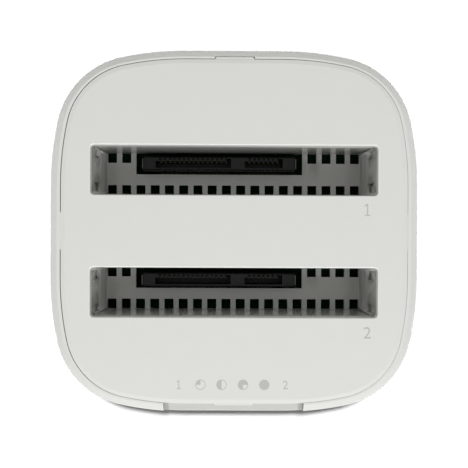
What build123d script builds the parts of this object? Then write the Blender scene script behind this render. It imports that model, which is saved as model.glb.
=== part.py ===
from build123d import *
from math import ceil, cos, pi, radians, sin, sqrt
import os

# Docking station for two 2.5 inch drives, in millimetres.
# +Z is up, +Y is the rear with the sockets, -Y is the front with the light bar.
# The origin is on the table under the middle of the body.

# Case
shell_wall = 2.6
end_wall_share = 0.87
end_room_depth = 23.55
corner_length = 33.7
shoulder_radius = 78.0
shoulder_turn = 12.0
rim_slope_width = 1.8
rim_slope_drop = 1.2
rim_round = 1.2
shell_foot_round = 0.5
ledge_width = 1.2
ledge_thickness = 1.6
overrun = 1.0
edge_tolerance = 0.05
round_end_share = 0.45

# Top cover
panel_thickness = 2.4
panel_bevel_width = 1.0
panel_bevel_drop = 0.2
panel_play_x = 0.07
panel_play_y = 0.04
groove_gap = 0.15
mouth_round = 0.15
tab_width = 9.5
tab_slant = 0.4
tab_thickness = 0.9
tab_drop = 0.3
tab_depth = 0.4
snap_width = 8.4
snap_thickness = 1.2
snap_length = 7.0
snap_barb = 0.8
snap_gap = 0.2

# Drive bays
bay_width = 70.7
bay_thickness = 12.2
bay_depth = 27.0
bay_pitch = 30.1
bay_corner = 0.9
bay_lean = 1.5
bay_draft = 0.15
well_relief = 0.1
well_wall = 1.6
well_flange = 2.2
well_board_gap = 1.6
guide_thickness = 0.15
guide_height = 8.5
toe_thickness = 0.4
toe_height = 0.6

# Vents of the bays
vent_count = 18
vent_end_gap = 0.575
vent_width = 2.4
vent_depth = 2.3
vent_groove_depth = 0.4
vent_top_drop = 7.3
socket_first_vent = 2
socket_end_gap = 1.0
socket_hole_depth = 5.45

# Pockets in the end walls of the bays
pocket_top_drop = 4.1
pocket_bottom_drop = 14.6
pocket_depth = 1.0
pocket_width = 2.3

# Screws that hold the wells under the cover
well_post_radius = 2.1
well_post_length = 5.0
well_post_gap = 0.15
well_post_clearance = 0.2
well_screw_radius = 1.0
well_screw_length = 5.6
well_screw_head_radius = 1.8
well_screw_head = 1.2
screw_clearance = 0.05
screw_slot_width = 0.5
screw_slot_depth = 0.5

# Base
foot_stand = 1.2
foot_radius = 5.0
foot_sink = 0.6
foot_round = 0.4
foot_inset = 19.0
base_thickness = 2.0
base_gap = 0.2
base_slot_count = 7
base_slot_pitch = 5.0
base_slot_width = 2.0
base_slot_length = 24.0
base_slot_row_spacing = 32.0

# Case screws and their posts
case_post_radius = 3.4
case_post_sink = 0.4
case_screw_radius = 1.3
case_screw_length = 9.0
case_screw_head_radius = 2.2
case_screw_head = 1.1
case_screw_head_gap = 0.2
case_screw_recess = 1.2

# Main board
board_lift = 5.0
board_thickness = 1.6
board_gap = 0.7
board_screw_inset_x = 13.0
board_screw_inset_y = 18.0
standoff_radius = 2.8
board_screw_radius = 1.2
board_screw_length = 5.0
board_screw_head_radius = 2.2
board_screw_head = 1.3

# Drive receptacles
receptacle_end_length = 4.725
receptacle_thickness = 3.7
receptacle_height = 9.0
receptacle_rear_gap = 1.0
contact_pitch = 1.27
power_contacts = 15
signal_contacts = 7
blank_count = 4
slot_rear_wall = 1.2
slot_thickness = 1.8
slot_depth = 6.2
slot_margin = 1.3
key_length = 1.2
key_thickness = 0.7
contact_width = 0.6
contact_thickness = 0.3
contact_drop = 2.6
tail_length = 1.2
dimple_width = 0.7
dimple_wall = 0.25
dimple_depth = 1.2
rib_width = 0.6
rib_depth = 0.35
rib_height = 1.2
clip_thickness = 0.25
clip_width = 2.6
clip_drop = 0.4

# Rear sockets, switch and button, each placed by its share of half the case width
usb_place_share = 0.2
usb_width = 8.94
usb_height = 3.26
usb_length = 8.2
usb_wall = 0.3
usb_recess = 0.6
usb_cutout_gap = 0.4
usb_tongue_width = 6.7
usb_tongue_thickness = 0.7
usb_tongue_length = 4.5
usb_base_length = 2.0

jack_place_share = 0.55
jack_width = 9.0
jack_height = 11.0
jack_length = 11.0
jack_axis_height = 6.0
jack_bore_radius = 3.2
jack_bore_depth = 9.5
jack_collar_radius = 4.1
jack_collar_gap = 0.3
jack_stand = 0.2
jack_pin_radius = 1.0
jack_pin_recess = 0.8

switch_place_share = -0.22
switch_axis_height = 5.0
rocker_length = 11.6
rocker_width = 6.2
rocker_face = 3.0
rocker_valley = 0.8
rocker_keel = 2.4
rocker_keel_width = 3.0
rocker_edge = 1.4
rocker_tilt = 8.0
rocker_gap = 0.3
rocker_recess = 0.1
rocker_pin_radius = 0.9
rocker_pin_gap = 0.05
rocker_pin_length = 0.8
rocker_sink = 1.5
switch_wall = 1.0
switch_cutout_gap = 0.25
switch_back = 6.0
switch_pin_radius = 0.5
switch_pin_spacing = 4.7
switch_pin_length = 3.0
switch_pin_gap = 0.1

button_place_share = -0.58
button_axis_height = 4.6
button_radius = 2.6
button_gap = 0.25
button_stand = 0.9
button_round = 0.4
button_flange_radius = 3.4
button_flange = 1.2
button_flange_gap = 0.3
button_travel = 0.6
plunger_radius = 1.6
plunger_gap = 0.08
plunger_length = 2.6
plunger_stand = 1.5
tact_width = 6.4
tact_height = 7.2
tact_length = 4.2

# Light bar, light guide and lamps
notch_width = 34.6
notch_height = 9.0
bar_drop = 1.3
bar_gap = 0.1
guide_rail_thickness = 2.4
guide_rail_height = 3.0
guide_rail_drop = 0.3
guide_rail_end = 1.0
lamp_count = 6
lamp_pitch = 5.25
prong_width = 2.0
prong_depth = 1.8
prong_gap = 0.3
lamp_width = 2.0
lamp_depth = 1.4
lamp_height = 1.0

# Parts on the main board
chip_size = 10.0
chip_height = 1.2
chip_x = -15.0
memory_length = 5.0
memory_width = 4.0
memory_height = 1.5
memory_x = 1.0
crystal_length = 11.0
crystal_width = 4.6
crystal_height = 3.6
crystal_x = 15.0
can_radius = 3.15
can_height = 7.7
can_groove = 0.3
can_groove_height = 1.6
can_inset = 17.0
can_gap = 1.0
can_pitch = 7.8
can_count = 3
coil_size = 7.0
coil_height = 4.0
coil_inset = 13.5
coil_spacing = 20.0
chip_part_length = 1.6
chip_part_width = 0.8
chip_part_height = 0.7
chip_part_pitch = 2.4
chip_part_count = 5
chip_part_gap = 1.2

# Levels and places that follow from the sizes above
well_post_x = bay_width / 2 + well_relief + well_wall + well_post_gap + well_post_radius
half_width = well_post_x + well_post_radius + well_post_clearance + ledge_width + shell_wall
half_depth = (bay_pitch + bay_thickness) / 2 + end_room_depth
tip_radius = shoulder_radius - (shoulder_radius - corner_length) / (
    cos(radians(shoulder_turn)) - sin(radians(shoulder_turn))
)
usb_x = usb_place_share * half_width
jack_x = jack_place_share * half_width
switch_x = switch_place_share * half_width
button_x = button_place_share * half_width
base_z = foot_stand
base_top_z = base_z + base_thickness
board_z = base_top_z + board_lift
board_top_z = board_z + board_thickness
floor_under_z = board_top_z + well_board_gap
floor_z = floor_under_z + well_wall
rim_z = floor_z + bay_depth
shell_top_z = rim_z - panel_bevel_drop
panel_z = rim_z - panel_thickness
ledge_z = panel_z - ledge_thickness
well_post_z = panel_z - well_post_length
bays = {"rear": bay_pitch / 2, "front": -bay_pitch / 2}
contact_places = power_contacts + blank_count + signal_contacts
receptacle_length = (contact_places - 1) * contact_pitch + 2 * receptacle_end_length
vent_pitch = (bay_width - vent_width - 2 * vent_end_gap) / (vent_count - 1)
socket_room = receptacle_length + 2 * (clip_thickness + socket_end_gap)
socket_last_vent = socket_first_vent + ceil((socket_room - vent_width) / vent_pitch)


def block(x, y, z):
    """Box between the two ends given along each axis."""
    size = [abs(span[1] - span[0]) for span in (x, y, z)]
    middle = [(span[0] + span[1]) / 2 for span in (x, y, z)]
    return Pos(*middle) * Box(*size)


def rod(x, y, z, radius):
    """Upright cylinder between two heights."""
    return Pos(x, y, (z[0] + z[1]) / 2) * Cylinder(radius, abs(z[1] - z[0]))


def rod_y(x, y, z, radius):
    """Cylinder along Y between two places."""
    return Pos(x, (y[0] + y[1]) / 2, z) * Rot(90, 0, 0) * Cylinder(radius, abs(y[1] - y[0]))


def prism_x(points, x):
    """Solid along X whose section is a polygon of (y, z) points."""
    face = Plane.YZ * make_face(Polyline(*points, close=True))
    return Pos(min(x), 0, 0) * extrude(face, amount=abs(x[1] - x[0]))


def prism_y(points, y):
    """Solid along Y whose section is a polygon of (x, z) points."""
    face = Plane.XZ * make_face(Polyline(*points, close=True))
    return Pos(0, max(y), 0) * extrude(face, amount=abs(y[1] - y[0]))


def prism_z(points, z):
    """Solid along Z whose section is a polygon of (x, y) points."""
    face = make_face(Polyline(*points, close=True))
    return Pos(0, 0, min(z)) * extrude(face, amount=abs(z[1] - z[0]))


def end_shift(inset):
    """Distance by which an inner outline is stretched, so that the end walls are the thinner ones."""
    return inset * (1 - end_wall_share)


def end_face(inset):
    """Distance from the middle to the front and rear of the outline moved inwards by inset."""
    return half_depth - inset + end_shift(inset)


def corner_arcs(inset):
    """Arcs of the outline in the quarter where x and y are positive, as three points each."""
    turn = radians(shoulder_turn)
    shoulder = shoulder_radius - inset
    tip = tip_radius - inset
    flat_x = half_width - corner_length
    flat_y = half_depth - corner_length + end_shift(inset)
    rear = (flat_x, half_depth - shoulder_radius + end_shift(inset))
    side = (half_width - shoulder_radius, flat_y)
    reach = (shoulder_radius - tip_radius) * sin(turn)
    far = (shoulder_radius - tip_radius) * cos(turn)
    middle = (rear[0] + reach, rear[1] + far)

    def at(centre, radius, angle):
        return (centre[0] + radius * sin(angle), centre[1] + radius * cos(angle))

    quarter = pi / 2
    return [
        [at(rear, shoulder, angle) for angle in (0, turn / 2, turn)],
        [at(middle, tip, angle) for angle in (turn, quarter / 2, quarter - turn)],
        [at(side, shoulder, angle) for angle in (quarter - turn, quarter - turn / 2, quarter)],
    ]


def case_outline(inset):
    """Rounded square outline of the case, moved inwards by inset."""
    arcs = corner_arcs(inset)
    edges = []
    for sign_x in (1, -1):
        for sign_y in (1, -1):
            for arc in arcs:
                edges.append(ThreePointArc(*[(sign_x * px, sign_y * py) for px, py in arc]))
    flat_x = arcs[0][0][0]
    flat_y = arcs[2][2][1]
    for sign in (1, -1):
        edges.append(Line((-flat_x, sign * arcs[0][0][1]), (flat_x, sign * arcs[0][0][1])))
        edges.append(Line((sign * arcs[2][2][0], -flat_y), (sign * arcs[2][2][0], flat_y)))
    return make_face(edges)


def case_solid(inset, z):
    """Solid of the case outline between two heights."""
    return Pos(0, 0, z[0]) * extrude(case_outline(inset), amount=z[1] - z[0])


def case_ring(inset, thickness, z):
    """Band that follows the case outline."""
    return case_solid(inset, z) - case_solid(inset + thickness, (z[0] - overrun, z[1] + overrun))


def rear_face(x, inset=0):
    """Y of the rear wall at x, for the outline moved inwards by inset."""
    turn = radians(shoulder_turn)
    past_flat = max(abs(x) - (half_width - corner_length), 0)
    radius = shoulder_radius - inset
    centre_y = half_depth - shoulder_radius + end_shift(inset)
    if past_flat <= radius * sin(turn):
        return centre_y + sqrt(radius**2 - past_flat**2)
    past_tip = past_flat - (shoulder_radius - tip_radius) * sin(turn)
    tip_y = centre_y + (shoulder_radius - tip_radius) * cos(turn)
    return tip_y + sqrt((tip_radius - inset) ** 2 - past_tip**2)


def corners(x, y):
    """The four places at plus and minus x and y."""
    return [(sign_x * x, sign_y * y) for sign_x in (1, -1) for sign_y in (1, -1)]


def case_post_places():
    """Centres of the screw posts, which merge into the corners of the shell."""
    middle = half_width - corner_length + (shoulder_radius - tip_radius) * sin(radians(shoulder_turn))
    middle_y = middle - half_width + half_depth + end_shift(shell_wall)
    reach = (tip_radius - shell_wall - case_post_radius + case_post_sink) * sin(pi / 4)
    return corners(middle + reach, middle_y + reach)


def board_screw_places():
    """Centres of the board screws and of their standoffs."""
    return corners(half_width - board_screw_inset_x, half_depth - board_screw_inset_y)


def foot_places():
    """Centres of the rubber feet."""
    return corners(half_width - foot_inset, half_depth - foot_inset)


def lamp_places():
    """X of each status lamp."""
    return [(i - (lamp_count - 1) / 2) * lamp_pitch for i in range(lamp_count)]


def screw(x, y, head_z, up, radius, length, head_radius, head):
    """Pan head screw with a crossed drive, its shank pointing up or down from the head's seat."""
    seat = head_z
    shank = rod(x, y, sorted((seat, seat + up * length)), radius)
    cap = rod(x, y, sorted((seat - up * head, seat)), head_radius)
    face = seat - up * head
    drive_z = sorted((face, face + up * screw_slot_depth))
    drive_x = (x - head_radius / 2, x + head_radius / 2)
    drive_y = (y - head_radius / 2, y + head_radius / 2)
    slot_x = (x - screw_slot_width / 2, x + screw_slot_width / 2)
    slot_y = (y - screw_slot_width / 2, y + screw_slot_width / 2)
    return shank + cap - block(drive_x, slot_y, drive_z) - block(slot_x, drive_y, drive_z)


def top_edges(solid, z):
    """Edges of the flat faces at one height."""
    flat = solid.faces().filter_by(Axis.Z)
    return [edge for face in flat if abs(face.center().Z - z) < edge_tolerance for edge in face.edges()]


def sloped_top(solid, width, drop):
    """The solid with a slope all round its top face."""
    top = solid.faces().sort_by(Axis.Z)[-1]
    return chamfer(top.edges(), width, drop, reference=top)


def through_rear(x, half):
    """Y span that passes right through the curved rear wall around x."""
    return (rear_face(abs(x) + half, shell_wall) - overrun, half_depth + overrun)


def rounded_slot(x, width, height, z, y):
    """Solid along Y with a section like a running track."""
    half = width / 2 - height / 2
    body = block((x - half, x + half), y, (z - height / 2, z + height / 2))
    for side in (-1, 1):
        body += rod_y(x + side * half, y, z, height / 2)
    return body


def rear_cutouts():
    """Openings in the rear wall for the sockets, the switch and the button."""
    usb_z = board_top_z + usb_height / 2
    slot = (usb_width + 2 * usb_cutout_gap, usb_height + 2 * usb_cutout_gap)
    usb = rounded_slot(usb_x, *slot, usb_z, through_rear(usb_x, slot[0] / 2))
    hole = jack_collar_radius + jack_collar_gap
    jack = rod_y(jack_x, through_rear(jack_x, hole), board_top_z + jack_axis_height, hole)
    half_x = rocker_cavity_half() + switch_wall + switch_cutout_gap
    half_z = rocker_width / 2 + rocker_gap + switch_wall + switch_cutout_gap
    z = board_top_z + switch_axis_height
    x = (switch_x - half_x, switch_x + half_x)
    switch = block(x, through_rear(switch_x, half_x), (z - half_z, z + half_z))
    hole = button_radius + button_gap
    button = rod_y(button_x, through_rear(button_x, hole), board_top_z + button_axis_height, hole)
    return [usb, jack, switch, button]


def sloped_case():
    """Solid of the case whose top edge slopes outwards and rounds over into the wall."""
    body = sloped_top(case_solid(0, (base_z, shell_top_z)), rim_slope_width, rim_slope_drop)
    crest_z = shell_top_z - rim_slope_drop
    crest = [edge for edge in body.edges() if abs(edge.center().Z - crest_z) < edge_tolerance]
    return fillet(crest, rim_round)


def outer_shell():
    """Sleeve with a ledge for the cover, a notch for the light bar and four screw posts."""
    body = sloped_case()
    body = fillet(top_edges(body, base_z), shell_foot_round)
    body -= case_solid(shell_wall, (base_z - overrun, rim_z + overrun))
    ledge = case_ring(shell_wall, ledge_width, (ledge_z, panel_z))
    posts = []
    for x, y in case_post_places():
        posts.append(rod(x, y, (base_top_z, ledge_z), case_post_radius))
    inside = case_solid(shell_wall / 2, (base_top_z, ledge_z))
    body += [ledge] + [post & inside for post in posts]
    for x, y in case_post_places():
        hole_z = (base_top_z - overrun, base_top_z + case_screw_length)
        body -= rod(x, y, hole_z, case_screw_radius + screw_clearance)
    notch_y = (-half_depth - overrun, -end_face(shell_wall + ledge_width) + overrun)
    notch_x = (-notch_width / 2, notch_width / 2)
    body -= block(notch_x, notch_y, (rim_z - notch_height, rim_z + overrun))
    tab_seat_x = (-tab_width / 2 - groove_gap, tab_width / 2 + groove_gap)
    tab_seat_y = (end_face(shell_wall) - overrun, end_face(shell_wall) + tab_depth + groove_gap)
    body -= block(tab_seat_x, tab_seat_y, (panel_z, rim_z + overrun))
    for cut in rear_cutouts():
        body -= cut
    return body


def snap_hook(ledge_face):
    """Arm under the cover with a barb that catches the ledge, pointing to +X."""
    face_x = ledge_face - snap_gap
    barb_z = ledge_z - snap_gap
    points = [
        (face_x - snap_thickness, panel_z),
        (face_x, panel_z),
        (face_x, barb_z),
        (face_x + snap_barb, barb_z),
        (face_x, panel_z - snap_length),
        (face_x - snap_thickness, panel_z - snap_length),
    ]
    return prism_y(points, (-snap_width / 2, snap_width / 2))


def edge_tab(outer):
    """Small tab on the cover's edge that closes the groove, pointing to +X."""
    inner = outer - tab_depth - groove_gap - panel_play_x - panel_bevel_width
    wide = tab_width / 2
    narrow = wide - tab_slant
    points = [(inner, -wide), (outer - groove_gap, -wide), (outer, -narrow), (outer, narrow)]
    points += [(outer - groove_gap, wide), (inner, wide)]
    return prism_z(points, (rim_z - tab_drop - tab_thickness, rim_z - tab_drop))


def rotated(solid, turns):
    """The solid turned by quarter turns about the Z axis."""
    return Rot(0, 0, 90 * turns) * solid


def top_cover():
    """Flat panel with two drive mouths, tabs, snap hooks and posts for the wells."""
    panel = case_solid(shell_wall + groove_gap, (panel_z, rim_z))
    panel = Pos(panel_play_x, -panel_play_y, 0) * sloped_top(panel, panel_bevel_width, panel_bevel_drop)
    for y in bays.values():
        mouth_x = (-bay_width / 2, bay_width / 2)
        mouth_y = (y - bay_thickness / 2, y + bay_thickness / 2)
        mouth = block(mouth_x, mouth_y, (panel_z - overrun, rim_z + overrun))
        panel -= fillet(mouth.edges().filter_by(Axis.Z), bay_corner)
    mouth_edges = []
    for edge in top_edges(panel, rim_z):
        place = edge.center()
        if abs(place.X) <= bay_width / 2 and abs(place.Y) < bay_pitch:
            mouth_edges.append(edge)
    panel = fillet(mouth_edges, mouth_round)
    side_tab = edge_tab(half_width - shell_wall)
    end_tab = edge_tab(end_face(shell_wall) + tab_depth)
    panel += side_tab + rotated(side_tab, 2) + rotated(end_tab, 1) + rotated(end_tab, 3)
    side_hook = snap_hook(half_width - shell_wall - ledge_width)
    rear_hook = snap_hook(end_face(shell_wall + ledge_width))
    panel += side_hook + rotated(side_hook, 2) + rotated(rear_hook, 1)
    for y in bays.values():
        for side in (-1, 1):
            x = side * well_post_x
            panel += rod(x, y, (well_post_z, panel_z), well_post_radius)
            hole_z = (well_post_z - overrun, panel_z)
            panel -= rod(x, y, hole_z, well_screw_radius + screw_clearance)
    return panel


def vent_section(wall_top, wall_floor, out, depth):
    """L-shaped section of a vent: through the floor beside a wall and up a groove in the wall."""
    top_z = rim_z - vent_top_drop
    share = (top_z - floor_z) / (rim_z - floor_z)
    wall_at_top = wall_floor + (wall_top - wall_floor) * share
    under_z = floor_under_z - overrun
    return [
        (wall_floor - out * depth, under_z),
        (wall_floor - out * depth, floor_z + overrun),
        (wall_floor - out * vent_groove_depth, floor_z + overrun),
        (wall_at_top - out * vent_groove_depth, top_z),
        (wall_at_top + out * vent_groove_depth, top_z),
        (wall_floor + out * vent_groove_depth, floor_z),
        (wall_floor + out * vent_groove_depth, under_z),
    ]


def well_walls(y):
    """Y of the front and rear walls of a well, each as its place at the rim and at the floor."""
    half = bay_thickness / 2 + well_relief
    lean_front = bay_lean if y > 0 else bay_draft
    lean_rear = bay_lean if y < 0 else bay_draft
    return (y - half, y - half + lean_front), (y + half, y + half - lean_rear)


def vent_x(i):
    """Middle of a vent, counted from the left."""
    return (i - (vent_count - 1) / 2) * vent_pitch


def bay_well(y):
    """Open box that holds a drive upright, with one long wall leaning in to steer it."""
    front, rear = well_walls(y)
    end = bay_width / 2 + well_relief
    cavity = [(front[0], rim_z), (rear[0], rim_z), (rear[1], floor_z), (front[1], floor_z)]
    hollow = prism_x(cavity, (-end, end))
    middle_z = (rim_z + floor_z) / 2
    upright = [edge for edge in hollow.edges() if abs(edge.center().Z - middle_z) < overrun]
    hollow = fillet(upright, bay_corner)
    casing = [
        (front[0] - well_wall, rim_z),
        (rear[0] + well_wall, rim_z),
        (rear[1] + well_wall, floor_under_z),
        (front[1] - well_wall, floor_under_z),
    ]
    well = prism_x(casing, (-end - well_wall, end + well_wall))
    well += block(
        (-end - well_wall, end + well_wall),
        (front[0] - well_flange, rear[0] + well_flange),
        (panel_z - well_wall, panel_z),
    )
    well -= hollow
    pad_y = (front[1] - overrun / 2, rear[1] + overrun / 2)
    for side in (-1, 1):
        for thickness, height in ((guide_thickness, guide_height), (toe_thickness, toe_height)):
            pad_x = (side * (end - thickness), side * (end + overrun))
            well += block(pad_x, pad_y, (floor_z, floor_z + height))
        ear_x = (side * (end + overrun), side * (well_post_x + well_post_radius))
        ear_y = (y - well_post_radius, y + well_post_radius)
        ear = block(ear_x, ear_y, (well_post_z - well_wall, well_post_z))
        hole_z = (well_post_z - well_wall - overrun, well_post_z + overrun)
        well += ear - rod(side * well_post_x, y, hole_z, well_screw_radius + screw_clearance)
    well -= block((-half_width, half_width), (-half_depth, half_depth), (panel_z, rim_z + overrun))
    cuts = []
    half_vent = vent_width / 2
    for i in range(vent_count):
        x = (vent_x(i) - half_vent, vent_x(i) + half_vent)
        cuts.append(prism_x(vent_section(*front, -1, vent_depth), x))
        if not socket_first_vent <= i <= socket_last_vent:
            cuts.append(prism_x(vent_section(*rear, 1, vent_depth), x))
    socket_x = (vent_x(socket_first_vent) - half_vent, vent_x(socket_last_vent) + half_vent)
    cuts.append(prism_x(vent_section(*rear, 1, socket_hole_depth), socket_x))
    for side in (-1, 1):
        pocket = [
            (side * (end - overrun), rim_z - pocket_top_drop),
            (side * end, rim_z - pocket_top_drop),
            (side * (end + pocket_depth), rim_z - pocket_bottom_drop),
            (side * (end - overrun), rim_z - pocket_bottom_drop),
        ]
        cuts.append(prism_y(pocket, (rear[1] - pocket_width, rear[1])))
        cuts.append(prism_y(pocket, (front[1], front[1] + pocket_width)))
    for cut in cuts:
        well -= cut
    return well


def base_plate():
    """Bottom plate with standoffs, screw holes, seats for the feet and air slots."""
    plate = case_solid(shell_wall + base_gap, (base_z, base_top_z))
    for x, y in board_screw_places():
        hole_z = (board_top_z - board_screw_length, board_top_z)
        plate += rod(x, y, (base_top_z, board_z), standoff_radius)
        plate -= rod(x, y, hole_z, board_screw_radius + screw_clearance)
    for x, y in case_post_places():
        plate -= rod(x, y, (base_z - overrun, base_top_z + overrun), case_screw_radius + screw_clearance)
        head_gap = case_screw_head_radius + case_screw_head_gap
        plate -= rod(x, y, (base_z - overrun, base_z + case_screw_recess), head_gap)
    for x, y in foot_places():
        plate -= rod(x, y, (base_z - overrun, base_z + foot_sink), foot_radius)
    for row in (-1, 1):
        for i in range(base_slot_count):
            x = (i - (base_slot_count - 1) / 2) * base_slot_pitch
            y = row * base_slot_row_spacing / 2
            slot = block(
                (x - base_slot_width / 2, x + base_slot_width / 2),
                (y - base_slot_length / 2, y + base_slot_length / 2),
                (base_z - overrun, base_top_z + overrun),
            )
            plate -= fillet(slot.edges().filter_by(Axis.Z), base_slot_width * round_end_share)
    return plate


def rubber_feet():
    """Four round feet, each glued into its seat."""
    feet = []
    for x, y in foot_places():
        foot = rod(x, y, (0, base_z + foot_sink), foot_radius)
        feet.append(fillet(top_edges(foot, 0), foot_round))
    return feet


def case_screws():
    """Four screws from below into the posts of the shell."""
    seat = base_z + case_screw_recess
    size = (case_screw_radius, case_screw_length, case_screw_head_radius, case_screw_head)
    return [screw(x, y, seat, 1, *size) for x, y in case_post_places()]


def board_screws():
    """Four screws that hold the board on its standoffs."""
    size = (board_screw_radius, board_screw_length, board_screw_head_radius, board_screw_head)
    return [screw(x, y, board_top_z, -1, *size) for x, y in board_screw_places()]


def well_screws():
    """Two screws for each well, driven up into the posts of the cover."""
    seat = well_post_z - well_wall
    size = (well_screw_radius, well_screw_length, well_screw_head_radius, well_screw_head)
    return [screw(x, y, seat, 1, *size) for x, y in corners(well_post_x, bay_pitch / 2)]


def switch_pin_places():
    """X of the terminals of the power switch."""
    return [switch_x + i * switch_pin_spacing for i in (-1, 0, 1)]


def switch_pin_y():
    """Y of the terminals of the power switch."""
    return switch_back_y() + switch_wall


def main_board():
    """Circuit board that follows the case, notched round the screw posts."""
    board = case_solid(shell_wall + board_gap, (board_z, board_top_z))
    z = (board_z - overrun, board_top_z + overrun)
    for x, y in case_post_places():
        board -= rod(x, y, z, case_post_radius + board_gap)
    for x, y in board_screw_places():
        board -= rod(x, y, z, board_screw_radius + screw_clearance)
    for x in switch_pin_places():
        board -= rod(x, switch_pin_y(), z, switch_pin_radius + switch_pin_gap)
    return board


def receptacle_rear_y(y):
    """Y of the rear face of a receptacle."""
    return well_walls(y)[1][1] - receptacle_rear_gap


def receptacle_middle_x():
    """X of the middle of both receptacles, in the middle of their hole."""
    return (vent_x(socket_first_vent) + vent_x(socket_last_vent)) / 2


def contact_x():
    """X of each contact: the power group, some blank places, then the signal group."""
    span = (contact_places - 1) * contact_pitch
    first = receptacle_middle_x() - span / 2
    groups = [range(power_contacts), range(power_contacts + blank_count, contact_places)]
    return [[first + i * contact_pitch for i in group] for group in groups]


def rib_gaps(front, top_z):
    """Gaps between the ribs along the upper front edge of a receptacle."""
    half = (contact_pitch - rib_width) / 2
    gap_y = (front - overrun, front + rib_depth)
    gaps = []
    for place in contact_x()[0] + contact_x()[1]:
        middle = place + contact_pitch / 2
        gaps.append(block((middle - half, middle + half), gap_y, (top_z - rib_height, top_z + overrun)))
    return gaps


def receptacle(y):
    """Housing of a drive receptacle: two keyed slots, and a dimple and a rib for each contact."""
    middle = receptacle_middle_x()
    rear = receptacle_rear_y(y)
    top_z = board_top_z + receptacle_height
    ends = (middle - receptacle_length / 2, middle + receptacle_length / 2)
    housing = block(ends, (rear - receptacle_thickness, rear), (board_top_z, top_z))
    housing = chamfer(top_edges(housing, top_z), contact_thickness)
    slot_y = (rear - slot_rear_wall - slot_thickness, rear - slot_rear_wall)
    slot_z = (top_z - slot_depth, top_z + overrun)
    for group in contact_x():
        x = (group[0] - slot_margin, group[-1] + slot_margin)
        housing -= block(x, slot_y, slot_z)
        key_x = (x[1] - key_length, x[1])
        housing -= block(key_x, (slot_y[0], slot_y[1] + key_thickness), slot_z)
        for place in group:
            dimple_x = (place - dimple_width / 2, place + dimple_width / 2)
            dimple_y = (rear - dimple_wall - dimple_width, rear - dimple_wall)
            housing -= block(dimple_x, dimple_y, (top_z - dimple_depth, top_z + overrun))
    return housing - rib_gaps(rear - receptacle_thickness, top_z)


def receptacle_contacts(y):
    """Sprung blades on the rear side of the slots, and their solder tails in front of the housing."""
    rear = receptacle_rear_y(y)
    top_z = board_top_z + receptacle_height
    blade_y = (rear - slot_rear_wall - contact_thickness, rear - slot_rear_wall)
    blade_z = (top_z - slot_depth, top_z - contact_drop)
    front = rear - receptacle_thickness
    half = contact_width / 2
    blades = []
    for place in contact_x()[0] + contact_x()[1]:
        blades.append(block((place - half, place + half), blade_y, blade_z))
        tail_z = (board_top_z, board_top_z + contact_thickness)
        blades.append(block((place - half, place + half), (front - tail_length, front), tail_z))
    return blades


def receptacle_clips():
    """Metal hold-down clips at both ends of each receptacle."""
    clips = []
    for y in bays.values():
        middle_y = receptacle_rear_y(y) - receptacle_thickness / 2
        clip_y = (middle_y - clip_width / 2, middle_y + clip_width / 2)
        clip_z = (board_top_z, board_top_z + receptacle_height - clip_drop)
        for side in (-1, 1):
            near = receptacle_middle_x() + side * receptacle_length / 2
            clips.append(block((near, near + side * clip_thickness), clip_y, clip_z))
    return clips


def usb_front_y():
    """Y of the mouth of the data socket."""
    return rear_face(usb_x) - usb_recess


def usb_shell():
    """Drawn metal shell of the data socket."""
    z = board_top_z + usb_height / 2
    y = (usb_front_y() - usb_length, usb_front_y())
    shell = rounded_slot(usb_x, usb_width, usb_height, z, y)
    inner_y = (y[0] - overrun, y[1] + overrun)
    return shell - rounded_slot(usb_x, usb_width - 2 * usb_wall, usb_height - 2 * usb_wall, z, inner_y)


def usb_insert():
    """Moulded insert of the data socket with its tongue."""
    z = board_top_z + usb_height / 2
    back = usb_front_y() - usb_length
    base_y = (back, back + usb_base_length)
    base = rounded_slot(usb_x, usb_width - 2 * usb_wall, usb_height - 2 * usb_wall, z, base_y)
    tongue_x = (usb_x - usb_tongue_width / 2, usb_x + usb_tongue_width / 2)
    tongue_z = (z - usb_tongue_thickness / 2, z + usb_tongue_thickness / 2)
    return base + block(tongue_x, (back, back + usb_base_length + usb_tongue_length), tongue_z)


def jack_front_y():
    """Y of the face of the power jack's collar, just proud of the wall at its outer side."""
    return rear_face(jack_x + jack_collar_radius) + jack_stand


def jack_body():
    """Moulded body of the power jack with a round collar in the rear wall."""
    z = board_top_z + jack_axis_height
    front = jack_front_y()
    shoulder = rear_face(jack_x + jack_width / 2, shell_wall) - jack_collar_gap
    body = block(
        (jack_x - jack_width / 2, jack_x + jack_width / 2),
        (shoulder - jack_length, shoulder),
        (board_top_z, board_top_z + jack_height),
    )
    body += rod_y(jack_x, (shoulder - overrun, front), z, jack_collar_radius)
    return body - rod_y(jack_x, (front - jack_bore_depth, front + overrun), z, jack_bore_radius)


def jack_pin():
    """Centre pin of the power jack."""
    front = jack_front_y()
    z = board_top_z + jack_axis_height
    return rod_y(jack_x, (front - jack_bore_depth, front - jack_pin_recess), z, jack_pin_radius)


def rocker_cavity_half():
    """Half the length of the hollow in which the rocker turns."""
    tilt = radians(rocker_tilt)
    return rocker_length / 2 * cos(tilt) + rocker_face * sin(tilt) + rocker_gap


def rocker_pivot_y():
    """Y of the rocker's pivot, set so that its raised end stays inside the rear face."""
    tilt = radians(rocker_tilt)
    raised = rocker_length / 2 * sin(tilt) + rocker_face * cos(tilt)
    return half_depth - rocker_recess - raised


def switch_back_y():
    """Y of the back of the power switch."""
    return rocker_pivot_y() - switch_back


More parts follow.
